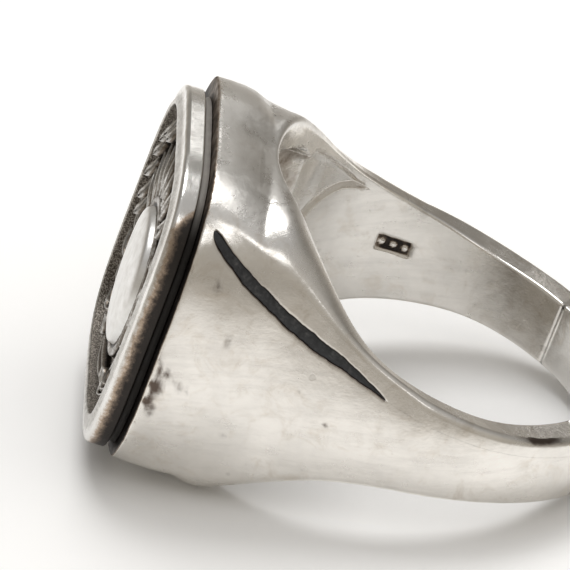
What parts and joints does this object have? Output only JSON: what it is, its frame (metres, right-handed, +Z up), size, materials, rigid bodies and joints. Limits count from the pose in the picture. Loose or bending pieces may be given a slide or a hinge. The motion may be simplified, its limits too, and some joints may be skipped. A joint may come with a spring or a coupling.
{
  "type": "signet ring",
  "caption": "Signet ring with a raised cushion face plate, applied blank crest, oxidised shadow groove and inlaid shoulder lines.",
  "frame": {"origin": "centre of the bounding box at the table the ring lies on", "axes": "+Z up from the table with the ring lying on its side, -Y towards the face of the ring (which tilts upwards by the resting angle), X across the finger; the ring is a mirror image of itself about X = 0"},
  "size_m": [0.022, 0.0268, 0.0159],
  "materials": {
    "silver_polished": "worn hand-polished sterling silver with fine scratches and light tarnish specks",
    "silver_relief": "sterling silver relief, polished on the high edges and dark in the hollows",
    "silver_oxidised": "blackened, oxidised sterling silver",
    "inlay_slate": "dark slate-grey metal-sulphide inlay, slightly granular, low sheen"
  },
  "bodies": {
    "root": {"ring_body": "silver_polished", "shank_back_section": "silver_polished", "shadow_spacer": "silver_oxidised", "face_plate": "silver_polished", "shield_boss": "silver_polished", "plume": "silver_relief", "leaf_spray_right": "silver_relief", "leaf_spray_left": "silver_relief", "scroll_ribbon": "silver_relief", "shoulder_inlay_right": "inlay_slate", "shoulder_inlay_left": "inlay_slate"}
  },
  "joints": []
}
